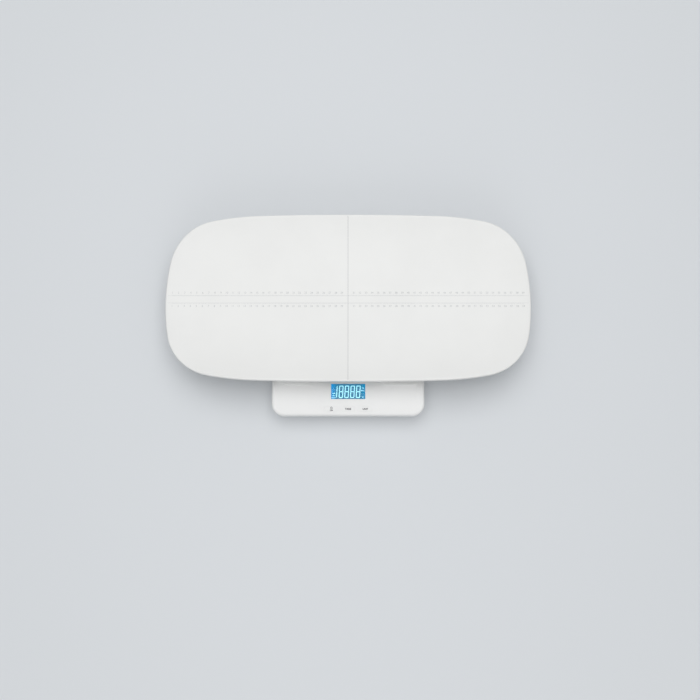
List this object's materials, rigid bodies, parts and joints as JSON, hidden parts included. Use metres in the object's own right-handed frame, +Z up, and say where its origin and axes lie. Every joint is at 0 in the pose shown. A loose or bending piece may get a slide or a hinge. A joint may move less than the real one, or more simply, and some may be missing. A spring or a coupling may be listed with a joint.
{
  "type": "baby weighing scale",
  "caption": "Digital baby scale: long dished tray that lifts off a low housing with a backlit display and a row of press keys.",
  "frame": {"origin": "on the floor, midway between the tray's two ends and between the tray's back edge and the housing's front edge", "axes": "+X along the tray to the right of someone reading the display, +Y from the display to the back, +Z up"},
  "size_m": [0.606, 0.331, 0.073],
  "materials": {
    "white_plastic": "satin moulded white",
    "inner_plastic": "matt",
    "grey_rubber": "matt",
    "plated_steel": "plated",
    "cell_steel": "brushed",
    "clear_window": "clear, polished",
    "blue_display": "glossy",
    "light_guide": "milky",
    "green_board": "lacquered",
    "black_parts": "matt",
    "battery_sleeve": "printed sleeve",
    "red_lead": "matt",
    "white_lead": "matt"
  },
  "bodies": {
    "base": {"battery_1": "battery_sleeve", "battery_2": "battery_sleeve", "battery_3": "battery_sleeve", "battery_4": "battery_sleeve", "battery_contacts_front": "plated_steel", "battery_contacts_rear": "plated_steel", "battery_lead_negative": "black_parts", "battery_lead_positive": "red_lead", "board_parts": "black_parts", "board_screws": "plated_steel", "case_screws": "plated_steel", "cell_lead_front_left": "white_lead", "cell_lead_front_right": "white_lead", "cell_lead_rear_left": "white_lead", "cell_lead_rear_right": "white_lead", "cell_retainer_front_left": "inner_plastic", "cell_retainer_front_right": "inner_plastic", "cell_retainer_rear_left": "inner_plastic", "cell_retainer_rear_right": "inner_plastic", "display_window": "clear_window", "foot_front_left": "white_plastic", "foot_front_right": "white_plastic", "foot_pad_front_left": "grey_rubber", "foot_pad_front_right": "grey_rubber", "foot_pad_rear_left": "grey_rubber", "foot_pad_rear_right": "grey_rubber", "foot_rear_left": "white_plastic", "foot_rear_right": "white_plastic", "key_dome_power": "grey_rubber", "key_dome_tare": "grey_rubber", "key_dome_unit": "grey_rubber", "lcd_backlight": "light_guide", "lcd_contact_strip": "grey_rubber", "lcd_frame": "inner_plastic", "lcd_glass": "blue_display", "load_cell_front_left": "cell_steel", "load_cell_front_right": "cell_steel", "load_cell_rear_left": "cell_steel", "load_cell_rear_right": "cell_steel", "lower_shell": "white_plastic", "main_board": "green_board", "upper_shell": "white_plastic"},
    "tray": {"tray_shell": "white_plastic"},
    "key_power": {"key_power": "white_plastic"},
    "key_tare": {"key_tare": "white_plastic"},
    "key_unit": {"key_unit": "white_plastic"},
    "battery_door": {"battery_door": "white_plastic"}
  },
  "joints": [
    {"name": "tray_lift", "type": "slide", "parent": "base", "child": "tray", "axis": [0, 0, 1], "range_m": [0, 0.12]},
    {"name": "key_power_press", "type": "slide", "parent": "base", "child": "key_power", "axis": [0, 0, -1], "range_m": [0, 0.0008], "stiffness_N_per_m": 600, "springref_m": -0.0005, "deforming": ["key_dome_power"]},
    {"name": "key_tare_press", "type": "slide", "parent": "base", "child": "key_tare", "axis": [0, 0, -1], "range_m": [0, 0.0008], "stiffness_N_per_m": 600, "springref_m": -0.0005, "deforming": ["key_dome_tare"]},
    {"name": "key_unit_press", "type": "slide", "parent": "base", "child": "key_unit", "axis": [0, 0, -1], "range_m": [0, 0.0008], "stiffness_N_per_m": 600, "springref_m": -0.0005, "deforming": ["key_dome_unit"]},
    {"name": "battery_door_hinge", "type": "hinge", "parent": "base", "child": "battery_door", "pos_m": [0, 0.00065, 0.0075], "axis": [1, 0, 0], "range_deg": [0, 90]}
  ]
}
